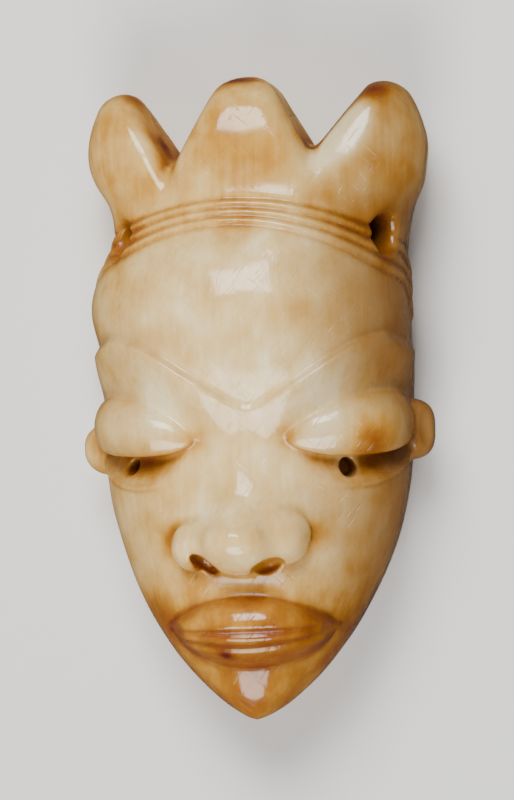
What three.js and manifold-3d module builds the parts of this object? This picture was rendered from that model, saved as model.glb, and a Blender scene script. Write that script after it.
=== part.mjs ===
// Miniature ivory mask, made to hang as a pendant: a long head with a three-lobed crown, a ridged headband,
// a V-shaped brow, heavy lowered lids, a broad nose, thin stacked lips and a pointed chin, all one carved piece.
// Millimetres. The mask lies on its flat back with its face up: +Z out of the face, +Y to the crown, +X to the
// right as one looks at the face. The origin is under the middle of its outline, on the plane of the back.
import * as THREE from "three";
import { mergeVertices } from "three/addons/utils/BufferGeometryUtils.js";
import Module from "manifold-3d";

const wasm = await Module();
wasm.setup();

const { lerp, smoothstep, degToRad, radToDeg, clamp } = THREE.MathUtils;

// How the carved form is worked out: every part of it is a function of a point that is below zero inside the
// ivory and counts millimetres near the surface. Parts are joined and cut with a rounding of a given width.
function join(a, b, rounding) {
  const near = Math.max(rounding - Math.abs(a - b), 0) / rounding;
  return Math.min(a, b) - (near * near * rounding) / 4;
}
const keepInside = (a, b, rounding) => -join(-a, -b, rounding);
const bump = (distance, width) => Math.exp(-((distance / width) ** 2));

// A smooth function through [y, value] stations
function through(stations) {
  const last = stations.length - 1;
  const slope = stations.map((_, i) => {
    const a = stations[Math.max(i - 1, 0)];
    const b = stations[Math.min(i + 1, last)];
    return (b[1] - a[1]) / (b[0] - a[0]);
  });
  return (y) => {
    if (y <= stations[0][0]) return stations[0][1];
    if (y >= stations[last][0]) return stations[last][1];
    const i = stations.findIndex((s) => s[0] > y) - 1;
    const step = stations[i + 1][0] - stations[i][0];
    const t = (y - stations[i][0]) / step;
    const bend = slope[i] * t * (1 - t) ** 2 - slope[i + 1] * t * t * (1 - t);
    return lerp(stations[i][1], stations[i + 1][1], t * t * (3 - 2 * t)) + step * bend;
  };
}

// Ellipsoid at a place, its axes turned about Z and then about the turned X
function ellipsoid(p, at, radii, turn = 0, tip = 0) {
  const c = Math.cos(degToRad(turn));
  const s = Math.sin(degToRad(turn));
  const ct = Math.cos(degToRad(tip));
  const st = Math.sin(degToRad(tip));
  const dx = p.x - at[0];
  const dy = p.y - at[1];
  const dz = p.z - at[2];
  const u = c * dx + s * dy;
  const side = c * dy - s * dx;
  const v = ct * side + st * dz;
  const w = ct * dz - st * side;
  const near = Math.hypot(u / radii[0], v / radii[1], w / radii[2]);
  const steep = Math.hypot(u / radii[0] ** 2, v / radii[1] ** 2, w / radii[2] ** 2);
  return steep > 0 ? (near * (near - 1)) / steep : -Math.min(...radii);
}

// Head: superellipse sections about a line through it, round in front and squarer behind
const CHIN_Y = -31;
const WIDEST_Z = 8.5; // height above the back at which the head is widest
const CHEEK = 14.8; // half width below the ears
const JAW_TOP_Y = -5; // where the jaw starts to narrow
const JAW_POWER = 1.8;
const JAW_ROOT = 0.7;
const FRONT_ROUNDNESS = 2.2;
const BACK_ROUNDNESS = 3.2;
const BACK_EDGE = 0.8; // rounding round the flat back

const skullWidth = through([
  [-5, 14.85],
  [1, 15.05],
  [4.5, 15],
  [8, 15.4],
  [11, 15.2],
  [14, 14.4],
  [16, 14.25],
  [18.5, 14.75],
  [21, 15.95],
  [24, 16.55],
  [26.5, 16.6],
  [29, 15.9],
  [31, 14],
]);
function halfWidth(y) {
  if (y > JAW_TOP_Y) return skullWidth(y);
  const t = clamp((JAW_TOP_Y - y) / (JAW_TOP_Y - CHIN_Y), 0, 0.999999);
  return CHEEK * (1 - t ** JAW_POWER) ** JAW_ROOT;
}
const frontZ = through([
  [-31, 10.5],
  [-30.7, 12.4],
  [-30.2, 13.4],
  [-29.5, 14.05],
  [-28.5, 14.7],
  [-27.5, 15.15],
  [-26.3, 15.5],
  [-25, 15.8],
  [-23, 16.8],
  [-21, 17.6],
  [-18.5, 18.3],
  [-14, 19],
  [-8, 19.6],
  [-3, 20.4],
  [1, 21.5],
  [4.5, 22.3],
  [8, 22.6],
  [11, 22.2],
  [14, 21],
  [16.5, 19.7],
  [19, 18.8],
  [22, 18.4],
  [25, 18.2],
  [27, 17.7],
  [28.6, 16.7],
  [30, 15],
  [31, 12],
]);
const backZ = through([
  [-31, 9],
  [-30.4, 6.6],
  [-29.2, 4.4],
  [-27.5, 2],
  [-25.5, -0.4],
  [-23, -2.5],
  [18.5, -2.5],
  [23.5, -0.3],
  [27, 2.6],
  [29.5, 5],
  [31, 7.5],
]);
// The middle line isn't quite straight: the chin leans to the left and the crown to the right
const middleX = through([
  [-31, -0.4],
  [-22, -0.3],
  [-13, 0],
  [4, 0],
  [8.8, -0.45],
  [12.6, 0],
  [15.5, 0.7],
  [19, 0.85],
  [22.5, 0.5],
  [31, 0.4],
]);

function skull(p) {
  const front = p.z >= WIDEST_Z;
  const power = front ? FRONT_ROUNDNESS : BACK_ROUNDNESS;
  const wide = halfWidth(p.y);
  const deep = front ? frontZ(p.y) - WIDEST_Z : WIDEST_Z - backZ(p.y);
  const across = Math.abs((p.x - middleX(p.y)) / wide) ** power;
  const out = Math.abs((p.z - WIDEST_Z) / deep) ** power;
  return ((across + out) ** (1 / power) - 1) * Math.min(wide, deep);
}

// Crown: three blunt lobes with a V-shaped notch between each two. The flanks of the side lobes lean back from
// the notches, and the front of each side lobe is scooped hollow towards its notch.
const LOBES = [
  { tip: [-12.7, 29.9], radius: 2.9, inner: 30, outer: 30 },
  { tip: [0, 31], radius: 3.5, inner: 28.5, outer: 28.5 },
  { tip: [13.6, 30.75], radius: 3.1, inner: 41, outer: 30 },
];
const NOTCH_FLARE = 0.15; // how fast a notch widens towards the front
const FLARE_Z = 10.5; // the notches keep their width behind this height
const NOTCH_BOTTOM = 1.2;
const LOBE_ROUNDING = 2.4;
const SCOOPS = [
  { at: [-5.6, 29.8, 22.2], radii: [7.4, 8.8, 7.4] },
  { at: [7.8, 29.8, 22.2], radii: [7.8, 8.8, 7.4] },
];
const SCOOP_EDGE = 0.8;

function lobeOutline(p, { tip, radius, inner, outer }) {
  const u = (p.x - tip[0]) * Math.sign(tip[0] || 1);
  const v = tip[1] - radius - p.y;
  const flare = tip[0] === 0 ? 0 : NOTCH_FLARE * Math.max(0, p.z - FLARE_Z);
  const flared = flare * smoothstep(-u, -radius, radius);
  const lean = degToRad(u > 0 ? outer : inner);
  if (v * Math.cos(lean) + Math.abs(u) * Math.sin(lean) < 0) return Math.hypot(u, v) - radius + flared;
  const flank = (across, slope) => across * Math.cos(slope) - v * Math.sin(slope) - radius;
  return Math.max(flank(u, degToRad(outer)), flank(-u, degToRad(inner)) + flared);
}
function crownOutline(p) {
  const [left, middle, right] = LOBES.map((lobe) => lobeOutline(p, lobe));
  const [leftScoop, rightScoop] = SCOOPS.map(({ at, radii }) => ellipsoid(p, at, radii));
  const leftLobe = keepInside(left, -leftScoop, SCOOP_EDGE);
  const rightLobe = keepInside(right, -rightScoop, SCOOP_EDGE);
  return join(join(leftLobe, middle, NOTCH_BOTTOM), rightLobe, NOTCH_BOTTOM);
}

// Headband: three low rounded ridges that arch over the forehead and fall back round the head, spreading
const BAND_TOP = { y: 18.95, arch: 0.018, skew: 0.02, fall: 0.03 };
const BAND_BOTTOM = { y: 16.5, arch: 0.023, skew: 0.045, fall: 0.06 };
const BAND_FALL_Z = { from: 13, to: 5 }; // between these heights the band falls, ever faster
const BAND_RIDGES = 3;
const BAND_HEIGHT = 0.3;

function bandEdge(p, { y, arch, skew, fall }) {
  const fallen = BAND_FALL_Z.from - clamp(p.z, BAND_FALL_Z.to, BAND_FALL_Z.from);
  return y - arch * p.x ** 2 - skew * p.x - fall * fallen ** 2;
}
function bandRelief(p) {
  const bottom = bandEdge(p, BAND_BOTTOM);
  const height = BAND_HEIGHT * smoothstep(p.z, 1, 6);
  const row = ((p.y - bottom) / (bandEdge(p, BAND_TOP) - bottom)) * BAND_RIDGES;
  if (row < 0 || row > BAND_RIDGES) {
    return -0.5 * height * bump(row < 0 ? row : row - BAND_RIDGES, 0.35);
  }
  return height * (Math.abs(Math.sin(row * Math.PI)) ** 0.8 - 0.5);
}

// Brow: two wings rising outwards from the root of the nose, a rounded step above and a hollow below
const BROW_ROOT = { x: 0.4, y: -1.6 };
const BROW_ROOT_ROUNDING = 1.2;
const BROW_RISE = 0.66;
const BROW_TOP_Y = 5.8;
const BROW_FALL = 0.55;
const BROW_TURN = 13.2; // where the wing turns down to the temple
const BROW_HEIGHT = 0.85;
const BROW_EDGE = 0.5;
const BROW_DEPTH = 5; // from the step down to the bottom of the hollow

function browLine(x) {
  const rising = BROW_ROOT.y + BROW_RISE * Math.hypot(x - BROW_ROOT.x, BROW_ROOT_ROUNDING);
  return join(rising, BROW_TOP_Y - BROW_FALL * Math.max(0, Math.abs(x) - BROW_TURN), 1.6);
}
function browRelief(p) {
  const below = (browLine(p.x) - p.y) * 0.86;
  const step = smoothstep(below, -BROW_EDGE, BROW_EDGE);
  const rest = 1 - 1.35 * smoothstep(below, 0.2, BROW_DEPTH);
  const settle = 1 - smoothstep(below, BROW_DEPTH, BROW_DEPTH + 4);
  const wing = lerp(0.45, 1, smoothstep(Math.abs(p.x), 0.5, 4.5));
  const temple = smoothstep(p.z, 4, 17) ** 0.8;
  return BROW_HEIGHT * step * rest * settle * wing * temple;
}

// Eyes, measured round the head from the inner corner (0) to the outer corner (1). The left one is smaller.
const EYE_INNER = { left: 66, right: 71 }; // degrees round the section, up from the temple
const EYE_OUTER = 4;
const LID_PEAK = 0.58; // where the lid is tallest
const LID_FULLNESS = 1.25;
const LID_HALF = { left: 2.75, right: 2.95 };
const LID_BULGE = 2;
const LID_TEMPLE_BULGE = 1.1; // what is left of the bulge at the outer corner
const LID_DROOP = 0.3; // the lid stands out most below its middle
const LID_EDGE = 0.3;
const HOLLOW_HALF = 5.4;
const HOLLOW_TOP = 2.4; // the hollow ends under the lid
const HOLLOW_PEAK = 0.52;
const HOLLOW_FULLNESS = 1.3;
const HOLLOW_DEPTH = 2.3;
const RIM_HEIGHT = 0.35;

const ofSide = (sizes, x) => (x < 0 ? sizes.left : sizes.right);
const eyeShare = (p) => {
  const degrees = radToDeg(Math.atan2(p.z - WIDEST_Z, Math.abs(p.x)));
  const inner = ofSide(EYE_INNER, p.x);
  return (inner - degrees) / (inner - EYE_OUTER);
};
const eyeMiddle = (share) => -3.8 + 3.2 * share - 1.7 * share ** 2;

// How tall an almond is at a share of its length, with 1 at its peak and below zero past its corners
function almond(share, peak, power) {
  const away = share < peak ? (peak - share) / peak : (share - peak) / (1 - peak);
  const inside = 1 - away * away;
  return inside > 0 && share < peak ? inside ** power : inside;
}
function lidEdge(share, x) {
  const half = ofSide(LID_HALF, x);
  return eyeMiddle(share) - half * Math.sqrt(Math.max(0, almond(share, LID_PEAK, LID_FULLNESS)));
}
function lid(p, head) {
  const share = eyeShare(p);
  const low = (p.y - eyeMiddle(share) + LID_DROOP) / (ofSide(LID_HALF, p.x) + LID_DROOP);
  const full = lerp(LID_BULGE, LID_TEMPLE_BULGE, smoothstep(share, 0.35, 0.95));
  const swell = almond(share, LID_PEAK, LID_FULLNESS) - low * low;
  const raised = swell > 0 ? swell ** 0.75 : swell;
  return keepInside(head - full * raised, (lidEdge(share, p.x) - p.y) * 0.9, LID_EDGE);
}
function hollowDepth(p) {
  const share = eyeShare(p);
  const above = p.y - eyeMiddle(share);
  const v = above / (above > 0 ? HOLLOW_TOP : HOLLOW_HALF);
  return HOLLOW_DEPTH * (almond(share, HOLLOW_PEAK, HOLLOW_FULLNESS) - v * v);
}
function rimRelief(p) {
  const share = eyeShare(p);
  if (p.y > eyeMiddle(share)) return 0;
  const outer = smoothstep(share, 0.15, 0.5) * (1 - smoothstep(share, 0.9, 1.05));
  return RIM_HEIGHT * outer * bump(hollowDepth(p) / HOLLOW_DEPTH + 0.13, 0.12);
}

// Nose: a broad bridge that swells to a ball with a wing on each side
const NOSE_BALL = { at: [-0.75, -13.9, 20.6], radii: [3.7, 2.75, 4.3], tip: -12 };
const NOSE_WINGS = [
  { at: [-5, -14.1, 19], radii: [2.3, 2.2, 2.5] },
  { at: [3.6, -13.3, 19.4], radii: [2.3, 2.5, 2.8] },
];
const BALL_ROUNDING = 1.6;
const NOSE_ROUNDING = { below: 0.7, above: 3 }; // where the nose meets the face
function bridgeRelief(p) {
  const down = smoothstep(-p.y, 2, 12) * (1 - smoothstep(-p.y, 14, 17.5));
  return lerp(0, 2.1, down) * bump(p.x + 0.2, lerp(3.4, 4.4, down));
}

// Mouth: a lens that stands out of the jaw, crossed by two lines into three thin lips
const MOUTH_HALF = 7.9;
const MOUTH_HEIGHT = 3;
const MOUTH_CREST = 0.55;
const LIP_GROOVE = 0.45;
const mouthTop = (x) => -18.8 - 2.9 * Math.min(1, Math.abs(x + 0.3) / 8.2) ** 2.4;
const mouthBottom = (x) => -21.6 - 4.1 * Math.max(0, 1 - (x / MOUTH_HALF) ** 2) ** 0.6 + 0.02 * x;
const lipLine = (x) => -22.2 + 0.02 * x + 0.003 * x * x;
const underLine = (x) => -23.7 + 0.04 * x + 0.02 * x * x;

function mouth(p, head) {
  const ends = 1 - (p.x / MOUTH_HALF) ** 2;
  const top = mouthTop(p.x);
  const down = (top - p.y) / Math.max(0.8, top - mouthBottom(p.x));
  const past = down - MOUTH_CREST;
  const away = past < 0 ? -past / MOUTH_CREST : past / (1 - MOUTH_CREST);
  const inside = Math.min(1 - away * away, ends * 3);
  if (inside <= 0) return head - 2 * inside;
  const grooves = bump(p.y - lipLine(p.x), 0.32) + bump(p.y - underLine(p.x), 0.32);
  const rise = MOUTH_HEIGHT * inside ** 0.6 * Math.max(0, ends) ** 0.4;
  return head - rise + LIP_GROOVE * grooves * Math.sqrt(inside);
}

// The whole carving but its ears and drilled holes
function carving(p) {
  const head = skull(p);
  const reliefs = bandRelief(p) + browRelief(p) + rimRelief(p) + bridgeRelief(p);
  let form = head - reliefs;
  if (p.y > 15) form = keepInside(form, crownOutline(p), LOBE_ROUNDING);
  if (p.z > WIDEST_Z - 3 && p.y < 4 && p.y > -12) {
    form = keepInside(form, head + hollowDepth(p), 0.4);
    form = join(form, lid(p, head), 0.35);
  }
  if (p.z > WIDEST_Z && p.y < -8) {
    let nose = ellipsoid(p, NOSE_BALL.at, NOSE_BALL.radii, 0, NOSE_BALL.tip);
    for (const wing of NOSE_WINGS) nose = join(nose, ellipsoid(p, wing.at, wing.radii), BALL_ROUNDING);
    form = join(form, nose, lerp(NOSE_ROUNDING.below, NOSE_ROUNDING.above, smoothstep(p.y, -15.5, -11)));
    form = join(form, mouth(p, head), 0.3);
  }
  return keepInside(form, -p.z, BACK_EDGE);
}

const FLAT_WITHIN = 0.002; // points this close to the plane of the back lie on it

// Where the surface is met going from a point inside along a direction
function surfaceFrom(from, direction, start = 0.5, limit = 24) {
  const p = new THREE.Vector3();
  const inside = (distance) => carving(p.copy(from).addScaledVector(direction, distance)) < 0;
  let low = start;
  while (!inside(low) && low > 0.02) low *= 0.5;
  let high = low;
  while (inside(high) && high < limit) {
    low = high;
    high += 0.2;
  }
  for (let i = 0; i < 18; i++) {
    const middle = (low + high) / 2;
    if (inside(middle)) low = middle;
    else high = middle;
  }
  const found = from.clone().addScaledVector(direction, low);
  if (found.z < FLAT_WITHIN) found.z = 0;
  return found;
}

// Directions round the head, close together over the face and wide apart behind
const FACE_STEPS = 44;
const BACK_STEPS = 10;
const TEMPLE_ANGLE = -6;
const CORNER_CROWDING = 0.05; // draws the directions towards the two edges of the back
const directions = Array.from({ length: FACE_STEPS + BACK_STEPS }, (_, k) => {
  const face = 180 - 2 * TEMPLE_ANGLE;
  if (k < FACE_STEPS) return TEMPLE_ANGLE + (face * k) / FACE_STEPS;
  const share = (k - FACE_STEPS) / BACK_STEPS;
  return TEMPLE_ANGLE + face + (360 - face) * (share + CORNER_CROWDING * Math.sin(4 * Math.PI * share));
});

// A ring of points on the surface whose height follows level(x, z), found going out from the middle line
function ring(level) {
  return directions.map((degrees) => {
    const direction = new THREE.Vector3(Math.cos(degToRad(degrees)), 0, Math.sin(degToRad(degrees)));
    let found = new THREE.Vector3(direction.x * 14, 0, WIDEST_Z + direction.z * 11);
    for (let i = 0; i < 4; i++) {
      const y = level(found);
      const from = new THREE.Vector3(middleX(y), y, WIDEST_Z);
      found = surfaceFrom(from, direction, halfWidth(y) * 0.3);
    }
    return found;
  });
}

const LOBE_ROOT_Y = 20.9; // the last ring, just under the front ends of the notches

// The levels of the rings: each follows a line of the carving, so that the facets lie along its edges
const flat = (y) => () => y;
const between = (a, b, share) => (p) => lerp(a(p), b(p), share);
const spread = (a, b, steps) => Array.from({ length: steps }, (_, i) => between(a, b, (i + 1) / (steps + 1)));
const faceOnly = (p) => smoothstep(p.z, WIDEST_Z - 2, WIDEST_Z + 3);

// A line of the mouth, carried on level past its corners
const lips = (line, rest) => (p) => lerp(rest, line(p.x), 1 - smoothstep(Math.abs(p.x), 6.5, 9));
const mouthLines = {
  bottom: lips(mouthBottom, -23.6),
  under: lips(underLine, -22.9),
  lip: lips(lipLine, -22.2),
  top: lips(mouthTop, -21.4),
};
const offset = (line, by) => (p) => line(p) + by;

// A line of the eyes, carried on level over the nose and behind the temples
const eyes = (line, rest) => (p) => {
  const share = eyeShare(p);
  const over = smoothstep(share, -0.05, 0.12) * faceOnly(p);
  return lerp(rest, line(clamp(share, 0, 1), p.x), over);
};
const almondHalf = (share, peak, power) => Math.sqrt(Math.max(0, almond(share, peak, power)));
const hollowEdge = (share) => eyeMiddle(share) - HOLLOW_HALF * almondHalf(share, HOLLOW_PEAK, HOLLOW_FULLNESS);
const lidTop = (share, x) => {
  const full = ofSide(LID_HALF, x) + LID_DROOP;
  return eyeMiddle(share) - LID_DROOP + full * almondHalf(share, LID_PEAK, LID_FULLNESS);
};
const eyeLines = {
  rim: eyes((share, x) => Math.min(hollowEdge(share) - 0.4, lidEdge(share, x) - 1.2), -7.4),
  hollow: eyes((share, x) => Math.min(hollowEdge(share), lidEdge(share, x) - 0.8), -6.8),
  under: eyes((share, x) => lidEdge(share, x) - 0.12, -5.2),
  edge: eyes((share, x) => lidEdge(share, x) + 0.16, -4.8),
  top: eyes((share, x) => Math.max(lidTop(share, x), lidEdge(share, x) + 1), -2.3),
};
const browEdge = (by) => (p) => lerp(1.2, browLine(p.x), faceOnly(p)) + by;
const band = (share) => (p) => lerp(bandEdge(p, BAND_BOTTOM), bandEdge(p, BAND_TOP), share);

const levels = [
  ...[-30.93, -30.7, -30.3, -29.6, -28.6, -27.5].map(flat),
  offset(mouthLines.bottom, -0.55),
  offset(mouthLines.bottom, 0.1),
  ...spread(mouthLines.bottom, mouthLines.under, 1),
  mouthLines.under,
  ...spread(mouthLines.under, mouthLines.lip, 1),
  mouthLines.lip,
  ...spread(mouthLines.lip, mouthLines.top, 3),
  offset(mouthLines.top, -0.1),
  offset(mouthLines.top, 0.25),
  ...spread(offset(mouthLines.top, 0.25), flat(-17.7), 1),
  ...[-17.7, -17.1, -16.4, -15.5, -14.5, -13.5, -12.6, -11.8, -10.9, -9.8].map(flat),
  offset(eyeLines.rim, -0.5),
  eyeLines.rim,
  eyeLines.hollow,
  ...spread(eyeLines.hollow, eyeLines.under, 2),
  eyeLines.under,
  eyeLines.edge,
  ...spread(eyeLines.edge, eyeLines.top, 3),
  eyeLines.top,
  offset(eyeLines.top, 0.5),
  ...spread(offset(eyeLines.top, 0.5), browEdge(-0.7), 2),
  browEdge(-0.65),
  browEdge(-0.1),
  browEdge(0.5),
  ...spread(browEdge(0.5), offset(band(0), -0.4), 5),
  offset(band(0), -0.4),
  ...Array.from({ length: 2 * BAND_RIDGES + 1 }, (_, i) => band(i / (2 * BAND_RIDGES))),
  offset(band(1), 0.45),
  between(band(1), flat(LOBE_ROOT_Y), 0.7),
  flat(LOBE_ROOT_Y),
];

// Crown above the last ring: this is parted along the bottom of each notch, and a lobe rises from each loop
const NOTCH_X = { left: { front: 7.4, back: 6.6 }, right: { front: 6.6, back: 5.9 } };
const NOTCH_STEPS = 6;
const LOBE_RINGS = [0.08, 0.18, 0.3, 0.43, 0.57, 0.71, 0.84, 0.93, 0.985];
const LOBE_AXIS_Z = 9.5;

function notchLine(front, back) {
  return Array.from({ length: NOTCH_STEPS }, (_, i) => {
    const share = (i + 1) / (NOTCH_STEPS + 1);
    const above = new THREE.Vector3().lerpVectors(front, back, share).setY(15);
    return surfaceFrom(above, new THREE.Vector3(0, 1, 0), 1);
  });
}

function lobeRings(loop, { tip, radius }) {
  const top = tip[1] - 0.02;
  return LOBE_RINGS.map((share) =>
    loop.map((base) => {
      const y = lerp(base.y, top, share);
      const from = new THREE.Vector3(tip[0] * lerp(0.93, 1, share), y, lerp(WIDEST_Z, LOBE_AXIS_Z, share));
      const direction = new THREE.Vector3(base.x - tip[0] * 0.93, 0, base.z - WIDEST_Z).normalize();
      return surfaceFrom(from, direction, radius * 0.3, 14);
    }),
  );
}

// Body of the carving: rings from chin to crown, parted into the lobes, closed at the chin and at each tip
function body() {
  const points = [];
  const index = [];
  const place = (ringPoints) => ringPoints.map((p) => points.push(p) - 1);
  const stitch = (lower, upper) => {
    lower.forEach((a, k) => {
      const next = (k + 1) % lower.length;
      index.push(a, upper[next], lower[next], a, upper[k], upper[next]);
    });
  };
  const close = (loop, p, flip) => {
    const middle = points.push(p) - 1;
    loop.forEach((a, k) => {
      const b = loop[(k + 1) % loop.length];
      index.push(...(flip ? [a, b, middle] : [b, a, middle]));
    });
  };
  const rings = levels.map((level) => place(ring(level)));
  rings.slice(1).forEach((upper, i) => stitch(rings[i], upper));
  close(rings[0], new THREE.Vector3(0, CHIN_Y, 10.6), true);

  const last = rings.at(-1);
  const nearest = (x, front) => {
    const near = last.filter((i) => points[i].z > WIDEST_Z === front);
    return near.reduce((a, b) => (Math.abs(points[b].x - x) < Math.abs(points[a].x - x) ? b : a));
  };
  const seams = [1, -1].map((side) => {
    const notch = side > 0 ? NOTCH_X.right : NOTCH_X.left;
    const front = nearest(side * notch.front, true);
    const back = nearest(side * notch.back, false);
    return { front, back, line: place(notchLine(points[front], points[back])) };
  });
  const [right, left] = seams;
  const along = (from, to) => {
    const start = last.indexOf(from);
    const count = (last.indexOf(to) - start + last.length) % last.length;
    return Array.from({ length: count + 1 }, (_, i) => last[(start + i) % last.length]);
  };
  const loops = [
    [...along(left.front, left.back), ...left.line.toReversed()],
    [
      ...along(right.front, left.front),
      ...left.line,
      ...along(left.back, right.back),
      ...right.line.toReversed(),
    ],
    [...along(right.back, right.front), ...right.line],
  ];
  loops.forEach((loop, i) => {
    const risen = lobeRings(loop.map((k) => points[k]), LOBES[i]).map(place);
    [loop, ...risen].slice(1).forEach((upper, j) => stitch([loop, ...risen][j], upper));
    close(risen.at(-1), new THREE.Vector3(LOBES[i].tip[0], LOBES[i].tip[1], LOBE_AXIS_Z), false);
  });
  return new THREE.BufferGeometry().setFromPoints(points).setIndex(index);
}

// A manifold-3d solid of a closed geometry, with its faces turned out
function solid(geometry) {
  const bare = geometry.clone();
  bare.deleteAttribute("normal");
  bare.deleteAttribute("uv");
  const merged = mergeVertices(bare, 1e-4);
  const build = (triVerts) => {
    const vertProperties = merged.attributes.position.array;
    return new wasm.Manifold(new wasm.Mesh({ numProp: 3, vertProperties, triVerts }));
  };
  const corners = new Uint32Array(merged.index.array);
  const made = build(corners);
  return made.volume() > 0 ? made : build(corners.reverse());
}

function ball(at, radii, turn = [0, 0, 0], around = 14, along = 10) {
  const turned = new THREE.Quaternion().setFromEuler(new THREE.Euler(...turn.map(degToRad)));
  const place = new THREE.Matrix4().compose(new THREE.Vector3(...at), turned, new THREE.Vector3(...radii));
  return solid(new THREE.SphereGeometry(1, around, along).applyMatrix4(place));
}

// Ears: small discs standing out of the temples, with a groove inside the rim
const EARS = [
  { side: -1, at: [-13.9, -4.6, 8.2], radii: [3.1, 2.6, 2.3], power: 2.3 },
  { side: 1, at: [13.7, -3.3, 8.2], radii: [3.45, 3, 2.4], power: 3 },
];

// A ball whose sections are superellipses, squarer the higher the power
function earDisc({ at, radii, power }) {
  const round = new THREE.SphereGeometry(1, 18, 12);
  const place = round.attributes.position;
  for (let i = 0; i < place.count; i++) {
    const p = new THREE.Vector3().fromBufferAttribute(place, i);
    const near = (Math.abs(p.x) ** power + Math.abs(p.y) ** power + Math.abs(p.z) ** power) ** (1 / power);
    place.setXYZ(i, ...p.divideScalar(near));
  }
  return solid(round.scale(...radii).translate(...at));
}
const EAR_GROOVE_TURN = 35;
function earGroove({ side, at, radii }) {
  const middle = [at[0] + side * (radii[0] + 0.2), at[1], at[2] + 2.1];
  return ball(middle, [1.5, radii[1] * 0.72, 0.8], [0, -side * EAR_GROOVE_TURN, 0], 12, 8);
}

// Pupils: holes drilled under the lids
const PUPILS = [
  { at: [-11.6, -6.4, 14.5], radius: 0.75, turn: -38 },
  { at: [9.3, -6.75, 16], radius: 0.95, turn: 25 },
];
const PUPIL_LENGTH = 5;
function pupil({ at, radius, turn }) {
  const drill = new THREE.CylinderGeometry(radius, radius * 0.85, PUPIL_LENGTH, 12);
  drill.rotateX(Math.PI / 2).rotateY(degToRad(turn));
  return solid(drill.translate(...at));
}

const NOSTRILS = [
  { at: [-3.95, -15.8, 20.6], radii: [1.7, 0.7, 3], turn: -40 },
  { at: [1.95, -16, 20.9], radii: [1.7, 0.8, 3], turn: 22 },
];

// Cord hole: drilled from both temples just above the headband, down and in until the two bores meet. The cord
// has worn its mouths wide.
const CORD_HOLE = { y: 15.4, z: 14.8, x: 14, slope: 0.5, radius: 1.6 };
const CORD_MOUTH = { radius: 2.3, outerX: 18, innerX: 10.5 };
const CORD_OVERLAP = 0.8; // how far each bore runs past the middle
function cordBore(side) {
  const lean = Math.atan(CORD_HOLE.slope);
  const along = (x) => x / Math.cos(lean);
  const profile = [
    [0, -CORD_OVERLAP],
    [CORD_HOLE.radius, -CORD_OVERLAP],
    [CORD_HOLE.radius, along(CORD_MOUTH.innerX)],
    [CORD_MOUTH.radius, along(CORD_MOUTH.outerX)],
    [0, along(CORD_MOUTH.outerX)],
  ].map(([r, at]) => new THREE.Vector2(r, at));
  const drill = new THREE.LatheGeometry(profile, 18).rotateZ(-side * Math.PI / 2).rotateY(-side * lean);
  return solid(drill.translate(0, CORD_HOLE.y, CORD_HOLE.z - CORD_HOLE.slope * CORD_HOLE.x));
}

function carve() {
  const eared = EARS.reduce((made, ear) => made.add(earDisc(ear)), solid(body()));
  const cuts = [
    ...EARS.map(earGroove),
    ...PUPILS.map(pupil),
    ...NOSTRILS.map(({ at, radii, turn }) => ball(at, radii, [0, 0, turn], 12, 8)),
    cordBore(-1),
    cordBore(1),
  ];
  return cuts.reduce((made, cut) => made.subtract(cut), eared);
}

const IVORY = new THREE.MeshStandardMaterial({ color: 0xd9b883, roughness: 0.35, metalness: 0 });

function meshOf(name, made, material) {
  const { vertProperties, triVerts } = made.getMesh();
  const geometry = new THREE.BufferGeometry();
  geometry.setAttribute("position", new THREE.BufferAttribute(vertProperties, 3));
  geometry.setIndex(new THREE.BufferAttribute(triVerts, 1));
  geometry.computeVertexNormals();
  const mesh = new THREE.Mesh(geometry, material);
  mesh.name = name;
  return mesh;
}

const maskPendant = new THREE.Group();
maskPendant.add(meshOf("mask", carve(), IVORY));
export default maskPendant;
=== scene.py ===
import math

import bpy
import numpy as np
from mathutils import Matrix, Vector, noise


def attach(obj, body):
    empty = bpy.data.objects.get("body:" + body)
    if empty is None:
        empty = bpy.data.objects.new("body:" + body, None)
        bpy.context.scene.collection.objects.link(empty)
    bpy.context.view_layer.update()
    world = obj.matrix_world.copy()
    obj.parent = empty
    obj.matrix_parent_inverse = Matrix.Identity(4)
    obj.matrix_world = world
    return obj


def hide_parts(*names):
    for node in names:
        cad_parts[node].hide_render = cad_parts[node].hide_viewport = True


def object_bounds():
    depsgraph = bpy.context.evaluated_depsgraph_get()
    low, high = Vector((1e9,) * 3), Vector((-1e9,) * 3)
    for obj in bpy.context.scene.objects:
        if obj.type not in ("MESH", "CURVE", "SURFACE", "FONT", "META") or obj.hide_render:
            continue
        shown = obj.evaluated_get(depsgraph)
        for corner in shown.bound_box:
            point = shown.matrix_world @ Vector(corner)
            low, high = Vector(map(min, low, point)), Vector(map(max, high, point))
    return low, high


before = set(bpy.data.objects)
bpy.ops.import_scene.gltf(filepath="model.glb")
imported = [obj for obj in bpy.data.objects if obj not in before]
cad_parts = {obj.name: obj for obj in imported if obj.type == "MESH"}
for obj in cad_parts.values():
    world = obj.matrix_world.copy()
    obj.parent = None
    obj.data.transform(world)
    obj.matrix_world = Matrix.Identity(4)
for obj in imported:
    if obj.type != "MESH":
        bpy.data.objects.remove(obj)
solid_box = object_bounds()

# The mask
# A miniature pendant mask of one piece of ivory, carved with small blades and gouges and drilled for its pupils and
# its cord. Its back is ground flat, and years on a cord have polished and stained it. Sizes are in millimetres, and
# the carving is a function of a place that is below zero inside the ivory.

MM = 0.001


# Head: superellipse sections about a line through it, round in front and squarer behind
CHIN_Y = -31
WIDEST_Z = 8.5
CHEEK = 14.8
JAW_TOP_Y = -5
JAW_POWER = 1.8
JAW_ROOT = 0.7
FRONT_ROUNDNESS = 2.2
BACK_ROUNDNESS = 3.2
BACK_EDGE = 0.8
SHORT_OF_CHIN = 0.999999


def lerp(a, b, share):
    return a + (b - a) * share


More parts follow.
